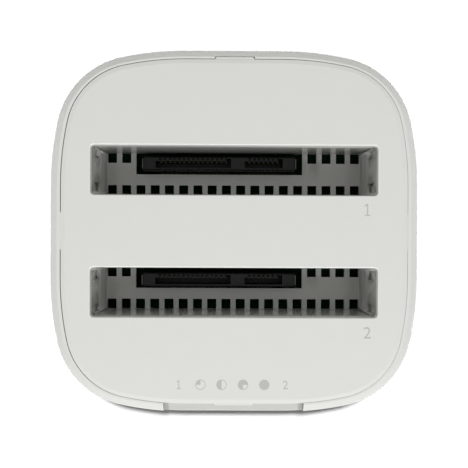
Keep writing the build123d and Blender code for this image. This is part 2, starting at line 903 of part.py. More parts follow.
def switch_frame():
    """Housing of the power switch, open to the rear, with sockets for the rocker's pins."""
    z = board_top_z + switch_axis_height
    half_x = rocker_cavity_half()
    half_z = rocker_width / 2 + rocker_gap
    face_y = half_depth - rocker_recess - rocker_sink
    frame = block(
        (switch_x - half_x - switch_wall, switch_x + half_x + switch_wall),
        (switch_back_y(), face_y),
        (z - half_z - switch_wall, z + half_z + switch_wall),
    )
    frame += block(
        (switch_x - half_x, switch_x + half_x),
        (switch_back_y(), rear_face(switch_x, shell_wall) - board_gap),
        (board_top_z, z - half_z - switch_wall),
    )
    frame -= block(
        (switch_x - half_x, switch_x + half_x),
        (rocker_pivot_y() - rocker_keel - rocker_gap, face_y + overrun),
        (z - half_z, z + half_z),
    )
    socket_z = half_z + rocker_pin_length
    socket = rod(switch_x, rocker_pivot_y(), (z - socket_z, z + socket_z), rocker_pin_radius + rocker_pin_gap)
    return frame - socket


def switch_rocker():
    """Rocker of the power switch, resting in its off position."""
    z = board_top_z + switch_axis_height
    end = rocker_length / 2
    points = [
        (-end, rocker_face),
        (0, rocker_face - rocker_valley),
        (end, rocker_face),
        (end, rocker_edge),
        (rocker_keel_width / 2, -rocker_keel),
        (-rocker_keel_width / 2, -rocker_keel),
        (-end, rocker_edge),
    ]
    rocker = prism_z(points, (z - rocker_width / 2, z + rocker_width / 2))
    pin_half = rocker_width / 2 + rocker_gap + rocker_pin_length - rocker_pin_gap
    rocker += rod(0, 0, (z - pin_half, z + pin_half), rocker_pin_radius)
    return Pos(switch_x, rocker_pivot_y(), 0) * Rot(0, 0, -rocker_tilt) * rocker


def switch_pins():
    """Terminals of the power switch, through the board."""
    z = (board_top_z - switch_pin_length, board_top_z)
    return [rod(x, switch_pin_y(), z, switch_pin_radius) for x in switch_pin_places()]


def button_flange_y():
    """Y of the outer side of the button's flange, behind the curved rear wall."""
    return rear_face(abs(button_x) + button_flange_radius, shell_wall) - button_flange_gap


def clone_button():
    """Push cap that starts a copy, kept in by a flange behind the rear wall."""
    z = board_top_z + button_axis_height
    flange = button_flange_y()
    tip = rear_face(button_x) + button_stand
    cap = rod_y(button_x, (flange - button_flange, tip), z, button_radius)
    cap = fillet(cap.faces().sort_by(Axis.Y)[-1].edges(), button_round)
    return cap + rod_y(button_x, (flange - button_flange, flange), z, button_flange_radius)


def plunger_tip_y():
    """Y where the plunger of the push switch meets the button."""
    return button_flange_y() - button_flange


def switch_plunger():
    """Plunger of the push switch behind the button."""
    tip = plunger_tip_y()
    return rod_y(button_x, (tip - plunger_length, tip), board_top_z + button_axis_height, plunger_radius)


def push_switch():
    """Body of the push switch on the board, bored for its plunger."""
    z = board_top_z + button_axis_height
    face = plunger_tip_y() - plunger_stand
    body = block(
        (button_x - tact_width / 2, button_x + tact_width / 2),
        (face - tact_length, face),
        (board_top_z, board_top_z + tact_height),
    )
    bottom = plunger_tip_y() - plunger_length - button_travel - button_flange_gap
    return body - rod_y(button_x, (bottom, face + overrun), z, plunger_radius + plunger_gap)


def light_bar():
    """Milky bar that fills the notch in the front of the shell and repeats its slope lower down."""
    z = (rim_z - notch_height + bar_gap, rim_z)
    half = notch_width / 2 - bar_gap
    bar = Pos(0, 0, -bar_drop) * sloped_case() - case_solid(shell_wall, (-overrun, rim_z))
    return bar & block((-half, half), (-half_depth - overrun, 0), z)


def light_guide():
    """Clear comb that carries light from the lamps on the board up to the bar."""
    rail_top = panel_z - guide_rail_drop
    rail_z = (rail_top - guide_rail_height, rail_top)
    half = notch_width / 2 - guide_rail_end
    comb = case_ring(shell_wall, guide_rail_thickness, rail_z)
    comb &= block((-half, half), (-half_depth, 0), rail_z)
    prong_y = -end_face(shell_wall + guide_rail_thickness / 2)
    lamp_top = board_top_z + lamp_height
    for x in lamp_places():
        comb += block(
            (x - prong_width / 2, x + prong_width / 2),
            (prong_y - prong_depth / 2, prong_y + prong_depth / 2),
            (lamp_top + prong_gap, rail_z[0] + guide_rail_height / 2),
        )
    return comb


def status_lamps():
    """Six lamps on the front edge of the board, one under each prong."""
    middle = -end_face(shell_wall + board_gap) + lamp_depth / 2
    lamps = []
    for x in lamp_places():
        lamp_x = (x - lamp_width / 2, x + lamp_width / 2)
        lamp_y = (middle - lamp_depth / 2, middle + lamp_depth / 2)
        lamps.append(block(lamp_x, lamp_y, (board_top_z, board_top_z + lamp_height)))
    return lamps


def board_block(x, y, length, width, height):
    """Flat part that lies on the board."""
    spans = ((x - length / 2, x + length / 2), (y - width / 2, y + width / 2))
    return block(*spans, (board_top_z, board_top_z + height))


def crystal():
    """Clock crystal in a can with rounded ends."""
    can = board_block(crystal_x, 0, crystal_length, crystal_width, crystal_height)
    return fillet(can.edges().filter_by(Axis.Z), crystal_width * round_end_share)


def capacitors():
    """Row of aluminium capacitors beside the power jack, each with a rolled groove."""
    can_y = half_depth - can_inset
    last_x = jack_x - jack_width / 2 - can_gap - can_radius
    cans = []
    for i in range(can_count):
        x = last_x - i * can_pitch
        can = rod(x, can_y, (board_top_z, board_top_z + can_height), can_radius)
        groove_z = board_top_z + can_groove_height
        can -= Pos(x, can_y, groove_z) * Torus(can_radius, can_groove)
        cans.append(can)
    return cans


def coils():
    """Two power coils in front of the front bay."""
    coil_y = coil_inset - half_depth
    places = (-coil_spacing / 2, coil_spacing / 2)
    return [board_block(x, coil_y, coil_size, coil_size, coil_height) for x in places]


def chip_parts():
    """Small parts in two rows beside the bridge chip."""
    parts = []
    for side in (-1, 1):
        x = chip_x + side * (chip_size / 2 + chip_part_gap)
        for i in range(chip_part_count):
            y = (i - (chip_part_count - 1) / 2) * chip_part_pitch
            parts.append(board_block(x, y, chip_part_width, chip_part_length, chip_part_height))
    return parts


def write(name, shape):
    """Write one node, which may hold several solids."""
    solids = shape if isinstance(shape, list) else [shape]
    solids = [solid for item in solids for solid in item.solids()]
    whole = solids[0] if len(solids) == 1 else Compound(children=solids)
    export_step(whole, f"parts/{name}.step")


nodes = {
    "outer_shell": outer_shell,
    "top_cover": top_cover,
    "bay_well_rear": lambda: bay_well(bays["rear"]),
    "bay_well_front": lambda: bay_well(bays["front"]),
    "well_screws": well_screws,
    "base_plate": base_plate,
    "rubber_feet": rubber_feet,
    "case_screws": case_screws,
    "main_board": main_board,
    "board_screws": board_screws,
    "receptacle_rear": lambda: receptacle(bays["rear"]),
    "receptacle_front": lambda: receptacle(bays["front"]),
    "contacts_rear": lambda: receptacle_contacts(bays["rear"]),
    "contacts_front": lambda: receptacle_contacts(bays["front"]),
    "receptacle_clips": receptacle_clips,
    "usb_shell": usb_shell,
    "usb_insert": usb_insert,
    "jack_body": jack_body,
    "jack_pin": jack_pin,
    "switch_frame": switch_frame,
    "switch_rocker": switch_rocker,
    "switch_pins": switch_pins,
    "clone_button": clone_button,
    "switch_plunger": switch_plunger,
    "push_switch": push_switch,
    "light_bar": light_bar,
    "light_guide": light_guide,
    "status_lamps": status_lamps,
    "bridge_chip": lambda: board_block(chip_x, 0, chip_size, chip_size, chip_height),
    "memory_chip": lambda: board_block(memory_x, 0, memory_length, memory_width, memory_height),
    "crystal": crystal,
    "capacitors": capacitors,
    "coils": coils,
    "chip_parts": chip_parts,
}

os.makedirs("parts", exist_ok=True)
for name, build in nodes.items():
    write(name, build())
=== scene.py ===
"""Looks of a docking station for two 2.5 inch drives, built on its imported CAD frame.

+Z is up, +Y is the rear with the sockets and -Y the front with the light bar. The origin is on
the table under the middle of the body. Fields that end in _mm are in millimetres in that frame.
"""

from __future__ import annotations

import logging
import math
from dataclasses import dataclass, replace
from enum import Enum

import bmesh
import bpy
from mathutils import Matrix, Vector

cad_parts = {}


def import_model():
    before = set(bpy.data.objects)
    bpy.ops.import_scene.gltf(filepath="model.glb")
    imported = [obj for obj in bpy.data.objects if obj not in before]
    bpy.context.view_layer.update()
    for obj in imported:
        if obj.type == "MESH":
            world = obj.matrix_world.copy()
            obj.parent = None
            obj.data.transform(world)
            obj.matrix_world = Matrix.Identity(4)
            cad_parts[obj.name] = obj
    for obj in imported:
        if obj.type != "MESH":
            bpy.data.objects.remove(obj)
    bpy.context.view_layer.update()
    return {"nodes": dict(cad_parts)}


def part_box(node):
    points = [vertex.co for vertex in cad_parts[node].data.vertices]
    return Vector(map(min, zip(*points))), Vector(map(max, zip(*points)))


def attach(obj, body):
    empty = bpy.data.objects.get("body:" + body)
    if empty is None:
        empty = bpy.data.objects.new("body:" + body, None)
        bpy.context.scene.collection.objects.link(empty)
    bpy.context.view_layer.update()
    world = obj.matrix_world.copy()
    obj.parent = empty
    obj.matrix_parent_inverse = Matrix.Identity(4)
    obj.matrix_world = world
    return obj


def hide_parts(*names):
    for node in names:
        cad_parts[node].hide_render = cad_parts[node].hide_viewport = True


LOG = logging.getLogger("dock")
MM = 0.001
DOCK = "dock"
ROCKER = "power_rocker"
Colour = tuple[float, float, float, float]
Point = tuple[float, float, float]
Nodes = dict[str, bpy.types.Object]
WHITE: Colour = (1.0, 1.0, 1.0, 1.0)
BLACK: Colour = (0.0, 0.0, 0.0, 1.0)
# Sockets of Blender's Mix node that take and give a colour.
MIX_FIRST = 6
MIX_SECOND = 7
MIX_RESULT = 2
# Points closer than this are one point.
WELD_MM = 0.001


def linear(hex_colour: str, gain: float = 1.0) -> Colour:
    """Turn an sRGB hex colour into linear light.

    Args:
        hex_colour: Colour as # and six hex digits.
        gain: Factor on the light, for a paler or darker shade of it.

    Returns:
        Red, green, blue and alpha.
    """
    channels = []
    for start in (1, 3, 5):
        value = int(hex_colour[start : start + 2], 16) / 255
        # The curve of the sRGB standard: straight near black and a power above.
        value = value / 12.92 if value <= 0.04045 else ((value + 0.055) / 1.055) ** 2.4
        channels.append(min(value * gain, 1.0))
    return (channels[0], channels[1], channels[2], 1.0)


def add_node(
    tree: bpy.types.NodeTree,
    kind: str,
    inputs: dict[str | int, object] | None = None,
    **settings: object,
) -> bpy.types.Node:
    """Add one node with its settings and links.

    Args:
        tree: Node tree that gets it.
        kind: Blender's type name of the node.
        inputs: Value of each input, or the output socket that feeds it.
        settings: Properties of the node itself.

    Returns:
        The new node.
    """
    node = tree.nodes.new(kind)
    for name, value in settings.items():
        setattr(node, name, value)
    for key, value in (inputs or {}).items():
        if isinstance(value, bpy.types.NodeSocket):
            tree.links.new(value, node.inputs[key])
        else:
            node.inputs[key].default_value = value
    return node


def background_rays(tree: bpy.types.NodeTree) -> bpy.types.NodeSocket:
    """Tell the rays that see the background from those that light the object.

    Args:
        tree: Node tree of the world or the table.

    Returns:
        A socket that is 1 for the camera's rays and for those of gloss and glass.
    """
    path = add_node(tree, "ShaderNodeLightPath").outputs
    seen = path["Is Camera Ray"]
    for ray in ("Is Glossy Ray", "Is Transmission Ray"):
        either = add_node(tree, "ShaderNodeMath", {0: seen, 1: path[ray]}, operation="MAXIMUM")
        seen = either.outputs["Value"]
    return seen


@dataclass(frozen=True)
class Finish:
    """A real material with the way its surface was made.

    Attributes:
        name: What it is and how it was made.
        colour: sRGB hex colour.
        roughness: Roughness of its surface.
        ior: Index of refraction.
        gloss_level: Strength of its reflection, where 0.5 is that of a clean surface.
    """

    name: str
    colour: str
    roughness: float
    ior: float = 1.5
    gloss_level: float = 0.5

    def material(self) -> bpy.types.Material:
        """Return the Blender material, made on first use."""
        found = bpy.data.materials.get(self.name)
        if found is None:
            found = bpy.data.materials.new(self.name)
            found.use_nodes = True
            shader = found.node_tree.nodes["Principled BSDF"]
            shader.inputs["Base Color"].default_value = linear(self.colour)
            shader.inputs["Roughness"].default_value = self.roughness
            shader.inputs["IOR"].default_value = self.ior
            shader.inputs["Specular IOR Level"].default_value = self.gloss_level
            self.dress(found.node_tree, shader)
        return found

    def dress(self, tree: bpy.types.NodeTree, shader: bpy.types.Node) -> None:
        """Add the pattern of the surface.

        Args:
            tree: Node tree of the material.
            shader: Its Principled BSDF.
        """
        raise NotImplementedError

    def follow(
        self,
        tree: bpy.types.NodeTree,
        shader: bpy.types.Node,
        pattern: bpy.types.NodeSocket,
        depth_mm: float,
        swing: float,
    ) -> None:
        """Let the height and the roughness of the surface follow a pattern.

        Args:
            tree: Node tree of the material.
            shader: Its Principled BSDF.
            pattern: Socket that gives the pattern, from 0 to 1.
            depth_mm: Height of the pattern.
            swing: Share by which the roughness follows it.
        """
        gloss = add_node(
            tree,
            "ShaderNodeMapRange",
            {
                "Value": pattern,
                "To Min": self.roughness * (1 - swing),
                "To Max": min(self.roughness * (1 + swing), 1.0),
            },
        )
        bump = add_node(tree, "ShaderNodeBump", {"Height": pattern, "Distance": depth_mm * MM})
        tree.links.new(gloss.outputs["Result"], shader.inputs["Roughness"])
        tree.links.new(bump.outputs["Normal"], shader.inputs["Normal"])


@dataclass(frozen=True)
class MouldedPlastic(Finish):
    """Plastic moulded in a tool with a fine spark-eroded grain.

    Attributes:
        grain_mm: Width of a grain.
        grain_depth_mm: Height of the grain.
        mottle: Share by which the colour wanders.
        mottle_mm: Width of the clouds of colour.
        gloss_swing: Share by which the roughness follows the grain.
    """

    grain_mm: float = 0.25
    grain_depth_mm: float = 0.006
    mottle: float = 0.012
    mottle_mm: float = 6.0
    gloss_swing: float = 0.12

    def dress(self, tree: bpy.types.NodeTree, shader: bpy.types.Node) -> None:
        """Add the grain, the clouds of colour and a roughness that follows the grain."""
        place = add_node(tree, "ShaderNodeTexCoord").outputs["Object"]
        grain = add_node(
            tree,
            "ShaderNodeTexNoise",
            {"Vector": place, "Scale": 1 / (self.grain_mm * MM), "Detail": 2.0},
        )
        clouds = add_node(
            tree,
            "ShaderNodeTexNoise",
            {"Vector": place, "Scale": 1 / (self.mottle_mm * MM), "Detail": 3.0},
        )
        tint = add_node(
            tree,
            "ShaderNodeMix",
            {
                "Factor": clouds.outputs["Fac"],
                MIX_FIRST: linear(self.colour, 1 - self.mottle),
                MIX_SECOND: linear(self.colour, 1 + self.mottle),
            },
            data_type="RGBA",
        )
        tree.links.new(tint.outputs[MIX_RESULT], shader.inputs["Base Color"])
        relief = grain.outputs["Fac"]
        self.follow(tree, shader, relief, self.grain_depth_mm, self.gloss_swing)


@dataclass(frozen=True)
class ClearPlastic(MouldedPlastic):
    """Plastic that lets light through, clear or milky.

    Attributes:
        clearness: Share of the light that goes straight through.
        milk: Share of the light that spreads inside.
        milk_depth_mm: How far it spreads.
        milk_reach: Share of that depth that red, green and blue reach.
    """

    clearness: float = 1.0
    milk: float = 0.0
    milk_depth_mm: float = 1.0
    milk_reach: Point = (1.0, 0.95, 0.9)

    def dress(self, tree: bpy.types.NodeTree, shader: bpy.types.Node) -> None:
        """Add the way light goes through it to the moulded surface."""
        super().dress(tree, shader)
        shader.inputs["Transmission Weight"].default_value = self.clearness
        shader.inputs["Subsurface Weight"].default_value = self.milk
        shader.inputs["Subsurface Radius"].default_value = self.milk_reach
        shader.inputs["Subsurface Scale"].default_value = self.milk_depth_mm * MM


@dataclass(frozen=True)
class Diffuser(ClearPlastic):
    """Milky bar with painted shade at its ends, where the end walls of its notch stand.

    Attributes:
        half_mm: Half its length along X.
        painted_end_mm: Length of the painted shade at each end.
        painted_end_shade: Share of its colour that is left in that painted shade.
        blur_mm: Length over which the shade sets in.
    """

    half_mm: float = 17.2
    painted_end_mm: float = 1.4
    painted_end_shade: float = 0.66
    blur_mm: float = 0.5

    def dress(self, tree: bpy.types.NodeTree, shader: bpy.types.Node) -> None:
        """Add the painted shade at both ends to the milky plastic."""
        super().dress(tree, shader)
        tint = shader.inputs["Base Color"].links[0].from_socket
        place = add_node(tree, "ShaderNodeTexCoord").outputs["Object"]
        along = add_node(tree, "ShaderNodeSeparateXYZ", {"Vector": place}).outputs["X"]
        reach = add_node(tree, "ShaderNodeMath", {0: along}, operation="ABSOLUTE")
        start = self.half_mm - self.painted_end_mm
        painted_end_ramp = add_node(
            tree,
            "ShaderNodeMapRange",
            {
                "Value": reach.outputs["Value"],
                "From Min": start * MM,
                "From Max": (start + self.blur_mm) * MM,
            },
        )
        # Painted shade: the colour darkens towards both ends of the bar.
        shade = add_node(
            tree,
            "ShaderNodeMix",
            {
                "Factor": painted_end_ramp.outputs["Result"],
                MIX_FIRST: tint,
                MIX_SECOND: linear(self.colour, self.painted_end_shade),
            },
            data_type="RGBA",
        )
        tree.links.new(shade.outputs[MIX_RESULT], shader.inputs["Base Color"])


@dataclass(frozen=True)
class Metal(Finish):
    """Metal that was drawn, stamped or plated, with fine marks in one direction.

    Attributes:
        mark_mm: Width of the marks along X, Y and Z.
        mark_depth_mm: Depth of the marks.
        gloss_swing: Share by which the roughness follows the marks.
    """

    mark_mm: Point = (0.05, 0.05, 1.5)
    mark_depth_mm: float = 0.001
    gloss_swing: float = 0.3

    def dress(self, tree: bpy.types.NodeTree, shader: bpy.types.Node) -> None:
        """Add the marks to the roughness and the surface."""
        shader.inputs["Metallic"].default_value = 1.0
        place = add_node(tree, "ShaderNodeTexCoord").outputs["Object"]
        stretch = add_node(
            tree,
            "ShaderNodeMapping",
            {"Vector": place, "Scale": tuple(1 / (width * MM) for width in self.mark_mm)},
        )
        marks = add_node(
            tree,
            "ShaderNodeTexNoise",
            {"Vector": stretch.outputs["Vector"], "Scale": 1.0, "Detail": 2.0},
        )
        relief = marks.outputs["Fac"]
        self.follow(tree, shader, relief, self.mark_depth_mm, self.gloss_swing)


@dataclass(frozen=True)
class SolderMask(Finish):
    """Green lacquer over the copper tracks of a glass epoxy board.

    Attributes:
        block_unit_mm: Unit in which the blocks of tracks are measured.
        block_length: Length of a block in that unit.
        block_width: Width of a block in that unit.
        track_width: Width of a track in that unit.
        copper_mm: Height of the copper.
        copper_colour: sRGB hex colour of the lacquer where copper lies under it.
    """

    block_unit_mm: float = 1.3
    block_length: float = 7.0
    block_width: float = 0.6
    track_width: float = 0.12
    copper_mm: float = 0.03
    copper_colour: str = "#0C3016"

    def dress(self, tree: bpy.types.NodeTree, shader: bpy.types.Node) -> None:
        """Add tracks that run in blocks, paler and a little raised."""
        place = add_node(tree, "ShaderNodeTexCoord").outputs["Object"]
        tracks = add_node(
            tree,
            "ShaderNodeTexBrick",
            {
                "Vector": place,
                "Scale": 1 / (self.block_unit_mm * MM),
                "Color1": BLACK,
                "Color2": BLACK,
                "Mortar": WHITE,
                "Mortar Size": self.track_width,
                "Brick Width": self.block_length,
                "Row Height": self.block_width,
            },
        )
        tint = add_node(
            tree,
            "ShaderNodeMix",
            {
                "Factor": tracks.outputs["Color"],
                MIX_FIRST: linear(self.colour),
                MIX_SECOND: linear(self.copper_colour),
            },
            data_type="RGBA",
        )
        bump = add_node(
            tree,
            "ShaderNodeBump",
            {"Height": tracks.outputs["Color"], "Distance": self.copper_mm * MM},
        )
        tree.links.new(tint.outputs[MIX_RESULT], shader.inputs["Base Color"])
        tree.links.new(bump.outputs["Normal"], shader.inputs["Normal"])


# ABS from a spark-eroded tool: matt, even and nearly white, with a soft broad sheen.
WHITE_ABS = MouldedPlastic("White moulded ABS", "#DCDDD8", 0.55, 1.54)
# The rounded edges of the mouths are glossy and paler than the cover: a painted highlight.
HIGHLIGHT_ABS = MouldedPlastic("White ABS with painted highlight", "#E4E5E0", 0.2, 1.54, grain_depth_mm=0.0)
# The wells come from a polished tool, so their walls mirror the vents; their colour is greyer
# than the cover's, which makes them darker.
GREY_ABS = MouldedPlastic("Grey moulded ABS", "#C9C9C5", 0.14, 1.54, grain_depth_mm=0.0)
# The base comes from a rougher tool, which breaks up its sheen.
BASE_ABS = MouldedPlastic(
    "White moulded ABS of the base", "#D6D7D2", 0.7, 1.54, grain_mm=0.4, grain_depth_mm=0.02
)
# Glass-filled nylon of sockets and switches: black with a low satin gloss.
BLACK_NYLON = MouldedPlastic(
    "Black moulded nylon", "#121313", 0.5, 1.53, gloss_level=0.25,
    grain_mm=0.15, grain_depth_mm=0.004, mottle=0.1, mottle_mm=2.0,
)
# The drive receptacles stand deep in the wells; this copy of the black nylon reflects less, as
# painted shade there.
DEEP_NYLON = replace(
    BLACK_NYLON, name="Black moulded nylon in shade", colour="#131414", gloss_level=0.22
)
# The rocker comes from a polished tool and shines, with hardly any grain.
BLACK_ABS = MouldedPlastic(
    "Black polished ABS", "#141516", 0.22, 1.54,
    grain_mm=0.4, grain_depth_mm=0.002, mottle=0.05, mottle_mm=3.0,
)
# The button is a shade darker than the case, so that it is found by eye.
BUTTON_ABS = MouldedPlastic("Pale grey moulded ABS", "#B9BBB7", 0.45, 1.54)
# Soft rubber from a mould, dark and without gloss.
RUBBER = MouldedPlastic(
    "Black moulded rubber", "#26272A", 0.85, 1.52, gloss_level=0.4,
    grain_mm=0.35, grain_depth_mm=0.02, mottle=0.15, mottle_mm=2.5,
)
# Milky polycarbonate blurs what lies behind it, so the bar looks pale and even; its colour is
# greyer than the cover's as painted shade of the notch it sits in.
MILKY = Diffuser(
    "Milky moulded polycarbonate", "#C1C2BE", 0.35, 1.58,
    clearness=0.0, milk=0.2, milk_depth_mm=0.6,
)
# Clear acrylic of the light guide, with polished faces that show through and mirror.
ACRYLIC = ClearPlastic("Clear moulded acrylic", "#F4F7F7", 0.06, 1.49, mottle=0.0)
# Resin domes of the lamps, clear and a little yellow.
LAMP_RESIN = ClearPlastic(
    "Cast lamp resin", "#E9E2B8", 0.2, 1.53, clearness=0.2, milk=0.3, milk_depth_mm=0.4
)
# Pad print on the cover: a thin, matt, even grey ink.
INK = MouldedPlastic("Grey printed ink", "#BCBDB9", 0.7, grain_mm=0.08, grain_depth_mm=0.001)
# White print on the rocker, glossy from use.
MARK_INK = MouldedPlastic(
    "White printed ink", "#E4E5E2", 0.5, grain_mm=0.08, grain_depth_mm=0.001
)
# Moulding compound of the chips, with a fine sandy grain.
EPOXY = MouldedPlastic(
    "Black moulded epoxy", "#202124", 0.6, 1.55, gloss_level=0.3,
    grain_mm=0.1, grain_depth_mm=0.01, mottle=0.1, mottle_mm=1.0,
)
# Sintered ferrite of the coils: dark grey, dry and slightly rough.
FERRITE = MouldedPlastic(
    "Sintered ferrite", "#3A3A3D", 0.75, 1.9, gloss_level=0.3,
    grain_mm=0.2, grain_depth_mm=0.02, mottle=0.2, mottle_mm=1.5,
)
# Fired ceramic of the small capacitors, tan and dense.
CERAMIC = MouldedPlastic(
    "Fired ceramic", "#9B7D56", 0.4, 1.7,
    grain_mm=0.2, grain_depth_mm=0.004, mottle=0.1, mottle_mm=1.0,
)
# Zinc plate over cold-headed steel: bright, bluish and streaked by the driver.
ZINC = Metal("Zinc plated steel", "#B4B6BA", 0.32, mark_mm=(0.1, 0.1, 0.3))
# Bright nickel over drawn steel, in the socket shell and the crystal's can: warm and mirror-like.
NICKEL = Metal("Nickel plated drawn steel", "#CFCDC6", 0.2, mark_mm=(0.06, 1.2, 0.06))
# Tin from a bath, soft and a little cloudy.
TIN = Metal("Tin plated brass", "#D3D2CC", 0.35, mark_mm=(0.3, 0.3, 0.3))
# Thin gold over nickel on the spring contacts, darkened to a dull brown as painted shade, since
# they lie deep in the slots.
GOLD = Metal("Gold plated bronze", "#3C3628", 0.5, mark_mm=(0.05, 0.05, 0.6))
# The hold-down clips are tinned, coloured a dark grey well below tin's own colour, so they show
# as thin dull lines.
DULL_TIN = Metal("Tin plated steel", "#55544F", 0.5, mark_mm=(0.3, 0.3, 0.3))
# Drawn aluminium of the capacitor cans, with marks round the can.
ALUMINIUM = Metal("Drawn aluminium", "#C9CBCD", 0.3, mark_mm=(0.4, 0.4, 0.05))
# Lacquered glass epoxy board with paler tracks under the lacquer; its green is darkened and its
# reflection lowered as painted shade under the wells.
BOARD = SolderMask("Matt solder mask on glass epoxy", "#08220F", 0.8, 1.55, gloss_level=0.08)

NODE_FINISHES: dict[str, Finish] = {
    "outer_shell": WHITE_ABS,
    "top_cover": WHITE_ABS,
    "bay_well_rear": GREY_ABS,
    "bay_well_front": GREY_ABS,
    "well_screws": ZINC,
    "base_plate": BASE_ABS,
    "rubber_feet": RUBBER,
    "case_screws": ZINC,
    "main_board": BOARD,
    "board_screws": ZINC,
    "receptacle_rear": DEEP_NYLON,
    "receptacle_front": DEEP_NYLON,
    "contacts_rear": GOLD,
    "contacts_front": GOLD,
    "receptacle_clips": DULL_TIN,
    "usb_shell": NICKEL,
    "usb_insert": BLACK_NYLON,
    "jack_body": BLACK_NYLON,
    "jack_pin": TIN,
    "switch_frame": BLACK_NYLON,
    "switch_rocker": BLACK_ABS,
    "switch_pins": TIN,
    "clone_button": BUTTON_ABS,
    "switch_plunger": BLACK_NYLON,
    "push_switch": BLACK_NYLON,
    "light_bar": MILKY,
    "light_guide": ACRYLIC,
    "status_lamps": LAMP_RESIN,
    "bridge_chip": EPOXY,
    "memory_chip": EPOXY,
    "crystal": NICKEL,
    "capacitors": ALUMINIUM,
    "coils": FERRITE,
    "chip_parts": CERAMIC,
}


def dress_nodes(nodes: Nodes) -> None:
    """Give every CAD node its finish.

    Args:
        nodes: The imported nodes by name.
    """
    for name, node in nodes.items():
        node.data.materials.clear()
        node.data.materials.append(NODE_FINISHES[name].material())
        LOG.info("dressed %s", name)


def add_piece(
    name: str, mesh: bmesh.types.BMesh, finish: Finish, body: str
) -> bpy.types.Object:
    """Turn a mesh into a named piece that rides on a body.

    Args:
        name: Name of the piece.
        mesh: Its mesh in metres, which is freed.
        finish: What it is made of.
        body: CAD body that carries it.

    Returns:
        The new object.
    """
    bmesh.ops.recalc_face_normals(mesh, faces=mesh.faces)
    data = bpy.data.meshes.new(name)
    mesh.to_mesh(data)
    mesh.free()
    return place_piece(name, data, finish, body)


def place_piece(
    name: str, data: bpy.types.Mesh, finish: Finish, body: str
) -> bpy.types.Object:
    """Make a named piece of a finished mesh and let it ride on a body.

    Args:
        name: Name of the piece.
        data: Its mesh in metres.
        finish: What it is made of.
        body: CAD body that carries it.

    Returns:
        The new object.
    """
    data.materials.clear()
    data.materials.append(finish.material())
    piece = bpy.data.objects.new(name, data)
    bpy.context.scene.collection.objects.link(piece)
    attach(piece, body)
    LOG.info("built %s with %d faces", name, len(data.polygons))
    return piece


class Well(Enum):
    """The two bays, as the CAD node of each and the Y of its middle in millimetres."""

    REAR = ("bay_well_rear", 15.05)
    FRONT = ("bay_well_front", -15.05)

    @property
    def node(self) -> str:
        """Name of its CAD node."""
        return self.value[0]

    @property
    def middle_mm(self) -> float:
        """Y of its middle."""
        return self.value[1]


@dataclass
class SmoothWells:
    """The wells with plain polished walls above their vents, which mirror in them.

    Attributes:
        half_mm: Half the thickness of a well at its mouth.
        lean_mm: How far the wall beside the middle of the body leans in from mouth to floor.
        draft_mm: How far the outer wall does.
        floor_mm: Height of the floor.
        mouth_mm: Height of the mouth.
        groove_mm: Depth of the grooves of the solids, which are filled here.
        end_mm: Half the width of a well.
        pocket_mm: How far outside the end wall the outer edge of a pocket lies at least.
        ledge_mm: Height of the ledge in the pockets of the end walls.
        ledge_fall_mm: How far the outer edge of that ledge falls away.
        vent_pitch_mm: Distance between vents.
        vent_half_mm: Half the width of a vent of the solid.
        vent_wider_mm: What each side of a vent gains here.
        spread_mm: What the outer wall and its vents gain at the floor.
        near_mm: How close a point is to a height or wall that it lies on.
        groove_near_mm: How close a point is to the bottom of a groove that it lies on.
        side_near_mm: How close a point is to the side of a vent that it lies on.
        weld_mm: Distance at which the points of a filled groove become one.
        crease_degrees: Angle above which an edge stays sharp.
    """

    half_mm: float = 6.2
    lean_mm: float = 1.5
    draft_mm: float = 0.15
    floor_mm: float = 13.0
    mouth_mm: float = 40.0
    groove_mm: float = 0.4
    end_mm: float = 35.45
    pocket_mm: float = 0.5
    ledge_mm: float = 25.4
    ledge_fall_mm: float = 2.2
    vent_pitch_mm: float = 3.95
    vent_half_mm: float = 1.2
    vent_wider_mm: float = 0.05
    spread_mm: float = 0.35
    near_mm: float = 0.02
    groove_near_mm: float = 0.05
    side_near_mm: float = 0.005
    weld_mm: float = 0.004
    crease_degrees: float = 30.0

    def build(self, nodes: Nodes) -> None:
        """Build both wells from their solids.

        Args:
            nodes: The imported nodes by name.
        """
        for well in Well:
            node_name = well.node
            mesh = bmesh.new()
            mesh.from_mesh(nodes[node_name].data)
            for vert in mesh.verts:
                self.open_vent(vert)
                self.fill(vert, well.middle_mm)
            bmesh.ops.remove_doubles(mesh, verts=mesh.verts, dist=self.weld_mm * MM)
            bmesh.ops.dissolve_degenerate(mesh, dist=WELD_MM * MM, edges=mesh.edges)
            piece = add_piece(f"smooth_{node_name}", mesh, GREY_ABS, DOCK)
            piece.data.shade_smooth()
            piece.data.set_sharp_from_angle(angle=math.radians(self.crease_degrees))
            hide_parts(node_name)

    def open_vent(self, vert: bmesh.types.BMVert) -> None:
        """Move a point at the side of a vent a little out.

        Args:
            vert: The point.
        """
        column = math.floor(vert.co.x / MM / self.vent_pitch_mm)
        aside = vert.co.x / MM - (column + 0.5) * self.vent_pitch_mm
        if abs(abs(aside) - self.vent_half_mm) <= self.side_near_mm:
            vert.co.x += math.copysign(self.vent_wider_mm, aside) * MM

    def fill(self, vert: bmesh.types.BMVert, middle: float) -> None:
        """Bring a point at the bottom of a groove to the wall, and deepen the pockets.

        Args:
            vert: The point.
            middle: Y of the middle of the well in millimetres.
        """
        height = vert.co.z / MM
        if height < self.floor_mm - self.near_mm:
            return
        in_pocket = abs(vert.co.x / MM) > self.end_mm + self.pocket_mm
        if in_pocket and abs(height - self.ledge_mm) < self.near_mm:
            vert.co.z -= self.ledge_fall_mm * MM
            return
        share = (self.mouth_mm - height) / (self.mouth_mm - self.floor_mm)
        for side in (-1, 1):
            outer = side * middle > 0
            slope = self.draft_mm if outer else self.lean_mm
            wall = middle + side * (self.half_mm - slope * share)
            depth = side * (vert.co.y / MM - wall)
            on_wall = abs(depth) < self.near_mm
            if on_wall or abs(depth - self.groove_mm) < self.groove_near_mm:
                gain = self.spread_mm * share if outer else 0.0
                vert.co.y = (wall + side * gain) * MM


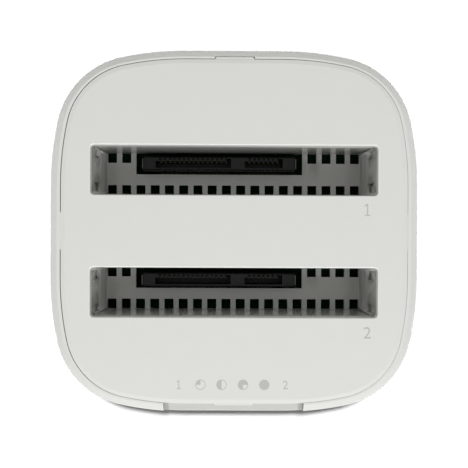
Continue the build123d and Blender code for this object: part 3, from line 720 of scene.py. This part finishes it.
@dataclass
class RoundedHighlitMouths:
    """The cover with mouths whose edges are rounded wider and glossy, in a paler colour as a
    painted highlight.

    Attributes:
        half_width_mm: Half the width of a mouth.
        half_depth_mm: Half its depth.
        corner_mm: Radius of its corners.
        round_mm: Rounding of its edge in the solid.
        worn_mm: Rounding of its edge here.
        near_mm: How close a point is to the rounding that it lies on.
        level_share: Share of a rounded face's normal that may point up at most.
    """

    half_width_mm: float = 35.35
    half_depth_mm: float = 6.1
    corner_mm: float = 0.9
    round_mm: float = 0.15
    worn_mm: float = 0.35
    near_mm: float = 0.01
    level_share: float = 0.9999

    def build(self, nodes: Nodes) -> None:
        """Build the cover from its solid.

        Args:
            nodes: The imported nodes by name.
        """
        data = nodes["top_cover"].data.copy()
        top = max(vert.co.z for vert in data.vertices) / MM
        worn = {vert.index for vert in data.vertices if self.wear(vert, top)}
        piece = place_piece("cover_with_highlit_mouths", data, WHITE_ABS, DOCK)
        data.materials.append(HIGHLIGHT_ABS.material())
        # The rounded faces of the mouths take the paler glossy finish, a painted highlight.
        for face in data.polygons:
            rounded = 1 - self.level_share < face.normal.z < self.level_share
            if rounded and worn.issuperset(face.vertices):
                face.material_index = 1
        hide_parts("top_cover")

    def offset(self, vert: bpy.types.MeshVertex, middle: float) -> tuple[float, Vector]:
        """Measure how far a point lies outside a mouth's outline.

        Args:
            vert: The point.
            middle: Y of the middle of the mouth in millimetres.

        Returns:
            The distance in millimetres and the direction straight out.
        """
        spot = Vector((vert.co.x / MM, vert.co.y / MM - middle))
        reach = Vector((self.half_width_mm - self.corner_mm, self.half_depth_mm - self.corner_mm))
        over = Vector((abs(spot.x) - reach.x, abs(spot.y) - reach.y))
        if over.x > 0 and over.y > 0:
            way, distance = over.normalized(), over.length
        elif over.x > over.y:
            way, distance = Vector((1.0, 0.0)), over.x
        else:
            way, distance = Vector((0.0, 1.0)), over.y
        way = Vector((math.copysign(way.x, spot.x), math.copysign(way.y, spot.y), 0.0))
        return distance - self.corner_mm, way

    def wear(self, vert: bpy.types.MeshVertex, top: float) -> bool:
        """Move a point of the solid's small rounding out to the worn one.

        Args:
            vert: The point.
            top: Height of the cover's face in millimetres.

        Returns:
            Whether it lay on the rounding.
        """
        drop = top - vert.co.z / MM
        reach = self.round_mm + self.near_mm
        if drop > reach:
            return False
        growth = self.worn_mm / self.round_mm
        for well in Well:
            distance, way = self.offset(vert, well.middle_mm)
            if -self.near_mm < distance < reach:
                vert.co += way * distance * (growth - 1) * MM
                vert.co.z = (top - drop * growth) * MM
                return True
        return False


def solid_boxes(node: bpy.types.Object) -> list[tuple[Vector, Vector]]:
    """Find the lowest and highest corner of each separate solid of a node.

    Args:
        node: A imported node.

    Returns:
        The corners of each solid, from the left and the front.
    """
    mesh = bmesh.new()
    mesh.from_mesh(node.data)
    bmesh.ops.remove_doubles(mesh, verts=mesh.verts, dist=WELD_MM * MM)
    boxes = []
    left = set(mesh.verts)
    while left:
        fresh = [left.pop()]
        solid = list(fresh)
        while fresh:
            for link in fresh.pop().link_edges:
                for vert in link.verts:
                    if vert in left:
                        left.remove(vert)
                        fresh.append(vert)
                        solid.append(vert)
        low = Vector([min(vert.co[i] for vert in solid) for i in range(3)])
        high = Vector([max(vert.co[i] for vert in solid) for i in range(3)])
        boxes.append((low, high))
    mesh.free()
    return sorted(boxes, key=lambda box: (round(box[0].x / MM), round(box[0].y / MM)))


@dataclass
class CrossScrews:
    """The screws under the base, with a rounded head and the cross recess of a driver.

    Attributes:
        head_mm: Height of the head.
        shank_mm: Radius of the shank.
        arm_mm: Reach of an arm of the cross.
        arm_half_mm: Half its width.
        recess_mm: Depth of the cross.
        floor_share: Size of the bottom of the cross as a share of its mouth.
        edge_mm: Rounding of the head.
        crease_degrees: Angle above which an edge stays sharp.
        steps: Points round the screw.
    """

    head_mm: float = 1.1
    shank_mm: float = 1.3
    arm_mm: float = 1.25
    arm_half_mm: float = 0.32
    recess_mm: float = 0.8
    floor_share: float = 0.5
    edge_mm: float = 0.25
    crease_degrees: float = 35.0
    steps: int = 96

    def build(self, nodes: Nodes) -> None:
        """Build every screw where its solid stands.

        Args:
            nodes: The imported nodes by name.
        """
        mesh = bmesh.new()
        for low, high in solid_boxes(nodes["case_screws"]):
            self.add_screw(mesh, low, high)
        piece = add_piece("cross_screws", mesh, ZINC, DOCK)
        piece.data.shade_smooth()
        piece.data.set_sharp_from_angle(angle=math.radians(self.crease_degrees))
        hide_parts("case_screws")

    def cross(self, turn: float) -> float:
        """Find how far the cross reaches in one direction.

        Args:
            turn: The direction in radians.

        Returns:
            The reach in millimetres.
        """
        off_axis = (turn + math.pi / 4) % (math.pi / 2) - math.pi / 4
        tip = self.arm_mm / math.cos(off_axis)
        side = abs(math.sin(off_axis))
        return self.arm_half_mm / side if side * tip > self.arm_half_mm else tip

    def add_screw(self, mesh: bmesh.types.BMesh, low: Vector, high: Vector) -> None:
        """Add one screw, ring by ring from the bottom of its cross to the tip of its shank.

        Args:
            mesh: Mesh that gets it.
            low: Lowest corner of its solid.
            high: Highest corner.
        """
        middle = (low + high) / 2
        head = (high.x - low.x) / 2 / MM
        face = low.z / MM
        # How far the middle of the rounding, at 45 degrees, stays inside its corner.
        bevel = self.edge_mm * (1 - math.sqrt(0.5))
        turns = [2 * math.pi * step / self.steps for step in range(self.steps)]
        cross = [self.cross(turn) for turn in turns]
        rings = [
            ([reach * self.floor_share for reach in cross], face + self.recess_mm),
            (cross, face),
            ([head - self.edge_mm] * self.steps, face),
            ([head - bevel] * self.steps, face + bevel),
            ([head] * self.steps, face + self.edge_mm),
            ([head] * self.steps, face + self.head_mm),
            ([self.shank_mm] * self.steps, face + self.head_mm),
            ([self.shank_mm] * self.steps, high.z / MM),
        ]
        loops = []
        for reaches, height in rings:
            loop = []
            for turn, reach in zip(turns, reaches):
                out = Vector((math.cos(turn), math.sin(turn), 0.0)) * reach * MM
                loop.append(mesh.verts.new((middle.x + out.x, middle.y + out.y, height * MM)))
            loops.append(loop)
        for inner, outer in zip(loops, loops[1:]):
            for i in range(self.steps):
                j = (i + 1) % self.steps
                mesh.faces.new((inner[i], inner[j], outer[j], outer[i]))
        mesh.faces.new(loops[0])
        mesh.faces.new(loops[-1])


@dataclass
class RockerMarks:
    """The usual line and ring on the two halves of the power switch, for on and off.

    Attributes:
        line_x_mm: X of the line.
        ring_x_mm: X of the ring.
        height_mm: Height of their middles.
        size_mm: Height of a mark.
        stroke_mm: Width of a printed stroke.
        ink_mm: Thickness of the ink.
        behind_mm: Y behind the rocker, from where its face is looked for.
        steps: Points round the ring.
    """

    line_x_mm: float = -6.9
    ring_x_mm: float = -13.1
    height_mm: float = 14.8
    size_mm: float = 1.9
    stroke_mm: float = 0.3
    ink_mm: float = 0.02
    behind_mm: float = 100.0
    steps: int = 48

    def build(self, nodes: Nodes) -> None:
        """Print both marks on the rocker's face.

        Args:
            nodes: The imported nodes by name.
        """
        rocker = nodes["switch_rocker"]
        half = self.size_mm / 2
        thin = self.stroke_mm / 2
        line = [(-thin, -half), (thin, -half), (thin, half), (-thin, half)]
        mesh = bmesh.new()
        self.stamp(mesh, rocker, self.line_x_mm, line, [])
        turns = [2 * math.pi * step / self.steps for step in range(self.steps)]
        inner, outer = (
            [(reach * math.cos(turn), reach * math.sin(turn)) for turn in turns]
            for reach in (half - self.stroke_mm, half)
        )
        self.stamp(mesh, rocker, self.ring_x_mm, outer, inner)
        add_piece("rocker_marks", mesh, MARK_INK, ROCKER)

    def stamp(
        self,
        mesh: bmesh.types.BMesh,
        rocker: bpy.types.Object,
        x: float,
        outer: list[tuple[float, float]],
        inner: list[tuple[float, float]],
    ) -> None:
        """Print an outline, filled or with a hole, flat on the face behind X.

        Args:
            mesh: Mesh that gets it.
            rocker: The rocker's node.
            x: X of its middle in millimetres.
            outer: Points of the outline in millimetres.
            inner: Points of the hole, as many, or none.
        """
        start = Vector((x, self.behind_mm, self.height_mm)) * MM
        _, spot, normal, _ = rocker.ray_cast(start, Vector((0.0, -1.0, 0.0)))
        across = Vector((0.0, 0.0, 1.0)).cross(normal).normalized()
        up = normal.cross(across)

        def place(point: tuple[float, float], lift: float) -> bmesh.types.BMVert:
            """Put a point of the outline on the face or on top of the ink."""
            flat = across * point[0] + up * point[1] + normal * lift
            return mesh.verts.new(spot + flat * MM)

        loops = [[place(point, lift) for point in outer] for lift in (0.0, self.ink_mm)]
        if inner:
            loops += [[place(point, lift) for point in inner] for lift in (self.ink_mm, 0.0)]
            loops.append(loops[0])
        else:
            mesh.faces.new(loops[0])
            mesh.faces.new(loops[1])
        for near, far in zip(loops, loops[1:]):
            for i in range(len(near)):
                j = (i + 1) % len(near)
                mesh.faces.new((near[i], near[j], far[j], far[i]))


# Outline of a plain numeral 1 with its flag and foot, as shares of its height.
ONE_OUTLINE = (
    (-0.23, 0.0), (0.23, 0.0), (0.23, 0.1), (0.055, 0.1), (0.055, 1.0), (-0.045, 1.0),
    (-0.27, 0.83), (-0.21, 0.75), (-0.055, 0.86), (-0.055, 0.1), (-0.23, 0.1),
)


class Progress(Enum):
    """Filled quarters of a progress sign, as its first and last angle in degrees."""

    QUARTER = (90.0, 180.0)
    HALF = (90.0, 270.0)
    THREE_QUARTERS = (0.0, 270.0)
    FULL = (0.0, 360.0)


@dataclass
class PrintedMarks:
    """Grey print on the cover: a numeral at each bay and a row of progress signs.

    Attributes:
        ink_mm: Thickness of the ink.
        line_mm: Width of a printed ring.
        sign_radius_mm: Radius of a progress sign.
        row_y_mm: Y of the row.
        sign_x_mm: X of the progress signs.
        row_numerals: X of the numerals at the ends of the row, with their texts.
        row_height_mm: Height of those numerals.
        bay_numerals: X and Y of the numerals at the bays, with their texts.
        bay_height_mm: Height of those numerals.
        hub_mm: Radius of the tiny hole in the middle of a filled sign.
        step_degrees: Angle between the points round a sign.
        font_share: Height of a numeral as a share of its font size.
    """

    ink_mm: float = 0.015
    line_mm: float = 0.18
    sign_radius_mm: float = 1.27
    row_y_mm: float = -37.7
    sign_x_mm: tuple[float, ...] = (-8.13, -2.95, 2.33, 7.54)
    row_numerals: tuple[tuple[float, str], ...] = ((-13.5, "1"), (12.75, "2"))
    row_height_mm: float = 2.2
    bay_numerals: tuple[tuple[float, float, str], ...] = ((32.7, 5.45, "1"), (32.85, -24.8, "2"))
    bay_height_mm: float = 3.0
    hub_mm: float = 0.02
    step_degrees: float = 7.5
    font_share: float = 0.73

    def build(self, top: float) -> None:
        """Print every mark.

        Args:
            top: Height of the cover's face in metres.
        """
        mesh = bmesh.new()
        for x, fill in zip(self.sign_x_mm, Progress):
            self.sign(mesh, x, fill, top)
        add_piece("progress_signs", mesh, INK, DOCK)
        places = [(x, self.row_y_mm, text, self.row_height_mm) for x, text in self.row_numerals]
        places += [(x, y, text, self.bay_height_mm) for x, y, text in self.bay_numerals]
        for number, (x, y, text, height) in enumerate(places):
            self.numeral(f"numeral_{number}", text, (x, y), height, top)

    def sign(self, mesh: bmesh.types.BMesh, x: float, fill: Progress, top: float) -> None:
        """Print a ring with its filled quarters.

        Args:
            mesh: Mesh that gets the sign.
            x: X of its middle in millimetres.
            fill: The filled quarters.
            top: Height of the cover's face in metres.
        """
        inner = self.sign_radius_mm - self.line_mm
        self.sector(mesh, x, (inner, self.sign_radius_mm), (0.0, 360.0), top)
        self.sector(mesh, x, (self.hub_mm, inner), fill.value, top)

    def sector(
        self,
        mesh: bmesh.types.BMesh,
        x: float,
        radii: tuple[float, float],
        angles: tuple[float, float],
        top: float,
    ) -> None:
        """Print a flat sector of a ring.

        Args:
            mesh: Mesh that gets it.
            x: X of its middle in millimetres.
            radii: Inner and outer radius in millimetres.
            angles: First and last angle in degrees.
            top: Height of the cover's face in metres.
        """
        first, last = angles
        steps = round((last - first) / self.step_degrees)
        rows = []
        for step in range(steps + 1):
            turn = math.radians(first + (last - first) * step / steps)
            row = []
            for radius in radii:
                for z in (top, top + self.ink_mm * MM):
                    spot = (
                        (x + radius * math.cos(turn)) * MM,
                        (self.row_y_mm + radius * math.sin(turn)) * MM,
                        z,
                    )
                    row.append(mesh.verts.new(spot))
            rows.append(row)
        for a, b in zip(rows, rows[1:]):
            for i, j in ((0, 1), (1, 3), (3, 2), (2, 0)):
                mesh.faces.new((a[i], a[j], b[j], b[i]))
        if last - first < 360:
            mesh.faces.new([rows[0][i] for i in (0, 1, 3, 2)])
            mesh.faces.new([rows[-1][i] for i in (2, 3, 1, 0)])
        bmesh.ops.remove_doubles(mesh, verts=mesh.verts, dist=WELD_MM * MM)

    def numeral(
        self, name: str, text: str, middle: tuple[float, float], height: float, top: float
    ) -> None:
        """Print one numeral.

        Args:
            name: Name of the piece.
            text: The numeral.
            middle: X and Y of its middle in millimetres.
            height: Its height in millimetres.
            top: Height of the cover's face in metres.
        """
        mesh = self.drawn_one(height) if text == "1" else self.typed(name, text, height)
        xs = [vert.co.x for vert in mesh.verts]
        ys = [vert.co.y for vert in mesh.verts]
        shift = Vector((middle[0] * MM, middle[1] * MM, top + self.ink_mm * MM / 2))
        shift -= Vector(((min(xs) + max(xs)) / 2, (min(ys) + max(ys)) / 2, 0))
        bmesh.ops.translate(mesh, vec=shift, verts=mesh.verts)
        add_piece(name, mesh, INK, DOCK)

    def drawn_one(self, height: float) -> bmesh.types.BMesh:
        """Draw a plain 1, with half its ink below zero.

        Args:
            height: Its height in millimetres.

        Returns:
            Its mesh in metres.
        """
        mesh = bmesh.new()
        for lift in (-self.ink_mm / 2, self.ink_mm / 2):
            spots = [Vector((x * height, y * height, lift)) * MM for x, y in ONE_OUTLINE]
            mesh.faces.new([mesh.verts.new(spot) for spot in spots])
        mesh.verts.ensure_lookup_table()
        count = len(ONE_OUTLINE)
        for i in range(count):
            j = (i + 1) % count
            mesh.faces.new([mesh.verts[k] for k in (i, j, count + j, count + i)])
        return mesh

    def typed(self, name: str, text: str, height: float) -> bmesh.types.BMesh:
        """Set a numeral in the plain font, with half its ink below zero.

        Args:
            name: Name of the piece.
            text: The numeral.
            height: Its height in millimetres.

        Returns:
            Its mesh in metres.
        """
        curve = bpy.data.curves.new(name, "FONT")
        curve.body = text
        curve.size = height / self.font_share * MM
        curve.extrude = self.ink_mm / 2 * MM
        drawn = bpy.data.objects.new(name, curve)
        bpy.context.scene.collection.objects.link(drawn)
        graph = bpy.context.evaluated_depsgraph_get()
        mesh = bmesh.new()
        mesh.from_mesh(bpy.data.meshes.new_from_object(drawn.evaluated_get(graph)))
        bpy.data.objects.remove(drawn)
        return mesh


@dataclass
class Studio:
    """White table, soft light and the camera straight above.

    Attributes:
        camera_mm: Place of the camera.
        aim_mm: Point that shows in the middle of the picture.
        roll_degrees: Turn of the picture, clockwise.
        sensor_mm: Width of the sensor.
        lens_mm: Focal length.
        clip_mm: Distance at which the camera begins to see.
        sky_level: Light from all round, as a share of that at which a colour shows as written.
        softbox_mm: Place of the soft lamp in front.
        softbox_width_mm: Its width.
        softbox_level: Its light on a level face, as a share of the same light.
        floor_radius_mm: Radius of the table's disc.
        floor_steps: Points round the disc.
        table_shade: Share of the light that the table reflects.
        table_fade_mm: Radii between which the table turns to plain white for the camera.
        table_lamp_mm: Place of the lamp that lights the table alone.
        table_lamp_radius_mm: Its radius, for a soft edge of the shadow.
        table_lamp_power: Its power in watts.
    """

    camera_mm: Point = (-1.85, 0.5, 248.0)
    aim_mm: Point = (-0.05, -0.62, 40.0)
    roll_degrees: float = 0.25
    sensor_mm: float = 36.0
    lens_mm: float = 65.15
    clip_mm: float = 10.0
    sky_level: float = 0.46
    softbox_mm: Point = (70.0, -700.0, 960.0)
    softbox_width_mm: float = 900.0
    softbox_level: float = 0.55
    floor_radius_mm: float = 300.0
    floor_steps: int = 96
    table_shade: float = 0.17
    table_fade_mm: tuple[float, float] = (75.0, 130.0)
    table_lamp_mm: Point = (-2.0, 70.0, 500.0)
    table_lamp_radius_mm: float = 9.0
    table_lamp_power: float = 57.0

    def build(self) -> None:
        """Set up the world, the lamps, the table and the camera."""
        scene = bpy.context.scene
        scene.view_settings.view_transform = "Standard"
        self.build_sky(scene)
        self.build_softbox(scene)
        table = self.build_table(scene)
        self.build_table_lamp(scene, table)
        self.build_camera(scene)

    def build_camera(self, scene: bpy.types.Scene) -> None:
        """Hang the camera where the photo was taken from.

        Args:
            scene: Scene that gets it.
        """
        data = bpy.data.cameras.new("camera")
        data.sensor_width = self.sensor_mm
        data.lens = self.lens_mm
        data.clip_start = self.clip_mm * MM
        camera = bpy.data.objects.new("camera", data)
        place = Vector(self.camera_mm) * MM
        camera.location = place
        way = (Vector(self.aim_mm) * MM - place).normalized()
        right = way.cross(Vector((0.0, 1.0, 0.0))).normalized()
        stand = Matrix((right, right.cross(way), -way)).transposed()
        stand = stand @ Matrix.Rotation(math.radians(self.roll_degrees), 3, "Z")
        camera.rotation_euler = stand.to_euler()
        scene.collection.objects.link(camera)
        scene.camera = camera

    def build_sky(self, scene: bpy.types.Scene) -> None:
        """Light the scene evenly from all round, and show white behind it.

        Args:
            scene: Scene that gets the world.
        """
        world = bpy.data.worlds.new("white studio")
        world.use_nodes = True
        tree = world.node_tree
        tree.nodes.clear()
        seen = background_rays(tree)
        light = add_node(
            tree, "ShaderNodeBackground", {"Color": WHITE, "Strength": self.sky_level}
        )
        paper = add_node(tree, "ShaderNodeBackground", {"Color": WHITE, "Strength": 1.0})
        mix = add_node(
            tree,
            "ShaderNodeMixShader",
            {0: seen, 1: light.outputs["Background"], 2: paper.outputs["Background"]},
        )
        add_node(tree, "ShaderNodeOutputWorld", {"Surface": mix.outputs["Shader"]})
        scene.world = world

    def build_softbox(self, scene: bpy.types.Scene) -> None:
        """Hang a soft square lamp in front that looks at the body.

        Args:
            scene: Scene that gets it.
        """
        data = bpy.data.lights.new("front_softbox", "AREA")
        data.size = self.softbox_width_mm * MM
        spot = Vector(self.softbox_mm) * MM
        rise = spot.z / spot.length
        # The watts that give a level face at the origin this share of the light.
        data.energy = self.softbox_level * math.pi**2 * spot.length_squared / rise
        lamp = bpy.data.objects.new("front_softbox", data)
        lamp.location = spot
        lamp.rotation_euler = spot.to_track_quat("Z", "Y").to_euler()
        scene.collection.objects.link(lamp)

    def build_table(self, scene: bpy.types.Scene) -> bpy.types.Object:
        """Lay the disc of the table.

        Args:
            scene: Scene that gets it.

        Returns:
            The table.
        """
        mesh = bmesh.new()
        radius = self.floor_radius_mm * MM
        bmesh.ops.create_circle(mesh, cap_ends=True, segments=self.floor_steps, radius=radius)
        data = bpy.data.meshes.new("table")
        mesh.to_mesh(data)
        mesh.free()
        paint = bpy.data.materials.new("Pale matt paper")
        paint.use_nodes = True
        tree = paint.node_tree
        shader = tree.nodes["Principled BSDF"]
        shade = self.table_shade
        shader.inputs["Base Color"].default_value = (shade, shade, shade, 1.0)
        shader.inputs["Roughness"].default_value = 1.0
        shader.inputs["Specular IOR Level"].default_value = 0.0
        shader.inputs["Emission Color"].default_value = WHITE
        place = add_node(tree, "ShaderNodeTexCoord").outputs["Object"]
        reach = add_node(tree, "ShaderNodeVectorMath", {0: place}, operation="LENGTH")
        near, far = self.table_fade_mm
        fade = add_node(
            tree,
            "ShaderNodeMapRange",
            {"Value": reach.outputs["Value"], "From Min": near * MM, "From Max": far * MM},
            interpolation_type="SMOOTHSTEP",
        )
        seen = background_rays(tree)
        white = add_node(
            tree, "ShaderNodeMath", {0: seen, 1: fade.outputs["Result"]}, operation="MULTIPLY"
        )
        tree.links.new(white.outputs["Value"], shader.inputs["Emission Strength"])
        data.materials.append(paint)
        table = bpy.data.objects.new("table", data)
        scene.collection.objects.link(table)
        return table

    def build_table_lamp(self, scene: bpy.types.Scene, table: bpy.types.Object) -> None:
        """Light the table alone from high behind, for a thin shadow in front of the body.

        Args:
            scene: Scene that gets the lamp.
            table: The table.
        """
        data = bpy.data.lights.new("table_lamp", "POINT")
        data.energy = self.table_lamp_power
        data.shadow_soft_size = self.table_lamp_radius_mm * MM
        lamp = bpy.data.objects.new("table_lamp", data)
        lamp.location = Vector(self.table_lamp_mm) * MM
        scene.collection.objects.link(lamp)
        lit = bpy.data.collections.new("lit_by_table_lamp")
        lit.objects.link(table)
        lamp.light_linking.receiver_collection = lit


def main() -> None:
    """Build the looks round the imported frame."""
    logging.basicConfig(level=logging.INFO, format="%(message)s")
    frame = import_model()
    Studio().build()
    dress_nodes(frame["nodes"])
    RoundedHighlitMouths().build(frame["nodes"])
    SmoothWells().build(frame["nodes"])
    CrossScrews().build(frame["nodes"])
    RockerMarks().build(frame["nodes"])
    PrintedMarks().build(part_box("top_cover")[1].z)


if __name__ == "__main__":
    main()
